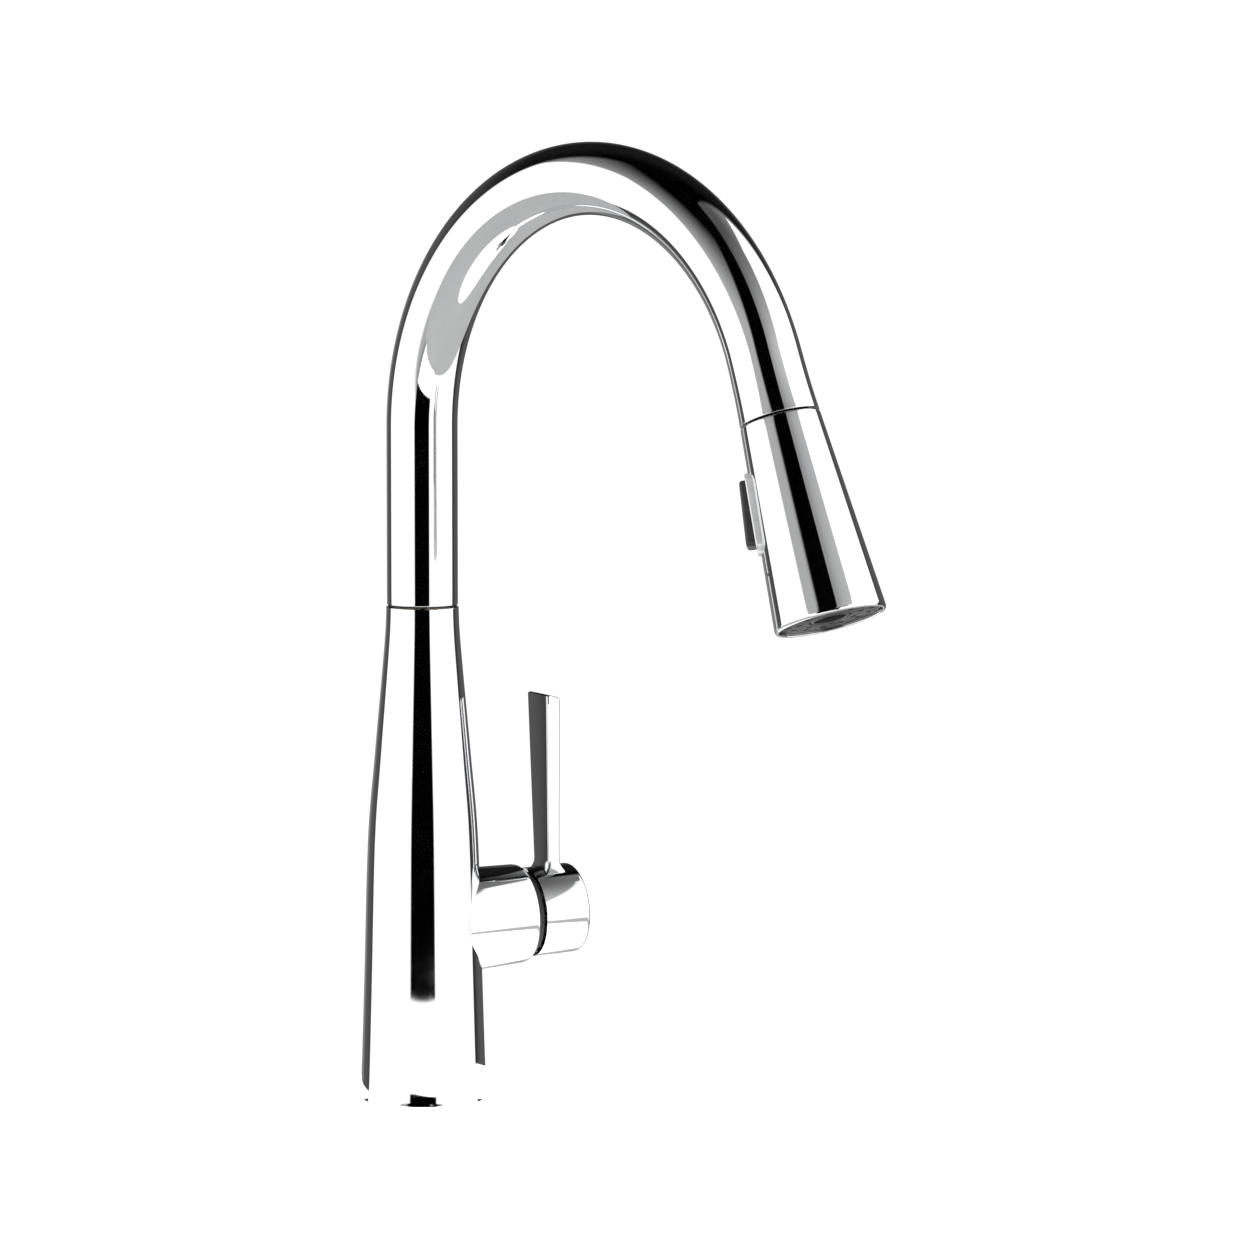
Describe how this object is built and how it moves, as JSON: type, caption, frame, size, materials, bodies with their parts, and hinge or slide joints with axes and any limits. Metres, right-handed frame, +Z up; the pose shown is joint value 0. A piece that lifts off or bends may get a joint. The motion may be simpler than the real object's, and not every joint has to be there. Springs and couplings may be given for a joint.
{
  "type": "kitchen faucet",
  "caption": "Single-handle kitchen faucet with a tapered body, swivelling high-arc spout and a pull-down two-function spray wand on a hose.",
  "frame": {"origin": "on the deck plane, at the centre of the deck hole, on the body's axis", "axes": "+Z up along the body's axis, +X along the handle's hub, -Y towards the sink"},
  "size_m": [0.1183, 0.2755, 0.5371],
  "materials": {
    "chrome": "polished chrome plate",
    "brass": "machined brass",
    "steel": "stainless steel",
    "copper": "drawn copper tube",
    "black_plastic": "satin black",
    "grey_plastic": "moulded grey",
    "white_plastic": "moulded white",
    "rubber": "matte black",
    "silicone": "soft dark grey",
    "hose_braid": "woven nylon braid"
  },
  "bodies": {
    "body": {"faucet_body": "chrome", "deck_gasket": "rubber", "base_plug": "brass", "shank": "brass", "under_deck_gasket": "rubber", "mounting_washer": "steel", "mounting_nut": "brass", "clamp_screw_left": "steel", "clamp_screw_right": "steel", "valve_housing": "brass", "hot_inlet_tube": "copper", "hot_inlet_nipple": "brass", "cold_inlet_tube": "copper", "cold_inlet_nipple": "brass", "outlet_tube": "copper", "outlet_nipple": "brass", "hose_connector": "grey_plastic", "spray_hose_lower": "hose_braid", "swivel_spigot": "brass", "glide_washer": "black_plastic", "bearing_ring_lower": "white_plastic", "bearing_ring_upper": "white_plastic", "cartridge_body": "grey_plastic", "cartridge_nut": "brass", "bonnet_ring": "black_plastic"},
    "handle_rotor": {"cartridge_rotor": "white_plastic", "stem_pin": "steel"},
    "handle": {"cartridge_stem": "steel", "handle_knob": "chrome", "handle_lever": "chrome", "handle_set_screw": "steel", "handle_plug": "grey_plastic"},
    "spout": {"spout_tube": "chrome", "spout_set_screw": "steel", "spray_hose_upper": "hose_braid", "dock_bushing": "black_plastic", "dock_magnet": "steel"},
    "hose_end": {"hose_nut": "brass"},
    "wand": {"wand_shell": "chrome", "wand_neck": "black_plastic", "keeper_ring": "steel", "wand_core": "white_plastic", "inlet_screen": "steel", "check_valve": "grey_plastic", "face_seal": "rubber", "nozzle_ring": "silicone", "face_plate": "black_plastic", "aerator": "grey_plastic", "button_bezel": "chrome", "button_pin": "steel", "diverter_spring": "steel"},
    "button": {"spray_button": "black_plastic"},
    "diverter": {"diverter_plunger": "white_plastic"}
  },
  "joints": [
    {"name": "spout_swivel", "type": "hinge", "parent": "body", "child": "spout", "pos_m": [0, 0, 0.2], "axis": [0, 0, 1], "continuous": true},
    {"name": "wand_pull", "type": "slide", "parent": "spout", "child": "hose_end", "axis": [0.1014, -0.3318, -0.9379], "range_m": [0, 0.45], "stiffness_N_per_m": 5, "springref_m": -1.2},
    {"name": "wand_swivel", "type": "hinge", "parent": "hose_end", "child": "wand", "pos_m": [0.06146, -0.20103, 0.29113], "axis": [0.1014, -0.3318, -0.9379], "continuous": true},
    {"name": "spray_toggle", "type": "hinge", "parent": "wand", "child": "button", "pos_m": [0.04975, -0.20455, 0.25478], "axis": [-0.4974, -0.8334, 0.241], "range_deg": [0, 6]},
    {"name": "diverter_slide", "type": "slide", "parent": "wand", "child": "diverter", "axis": [-0.1014, 0.3318, 0.9379], "range_m": [0, 0.0009]},
    {"name": "handle_temperature", "type": "hinge", "parent": "body", "child": "handle_rotor", "pos_m": [0, 0, 0.0726], "axis": [0.9986, 0, 0.0523], "range_deg": [-45, 45]},
    {"name": "handle_flow", "type": "hinge", "parent": "handle_rotor", "child": "handle", "pos_m": [0.02996, 0, 0.07417], "axis": [0, 1, 0], "range_deg": [0, 22]}
  ],
  "couplings": [
    {"joint": "diverter_slide", "follows": "spray_toggle", "m_per_rad": 0.0082}
  ]
}
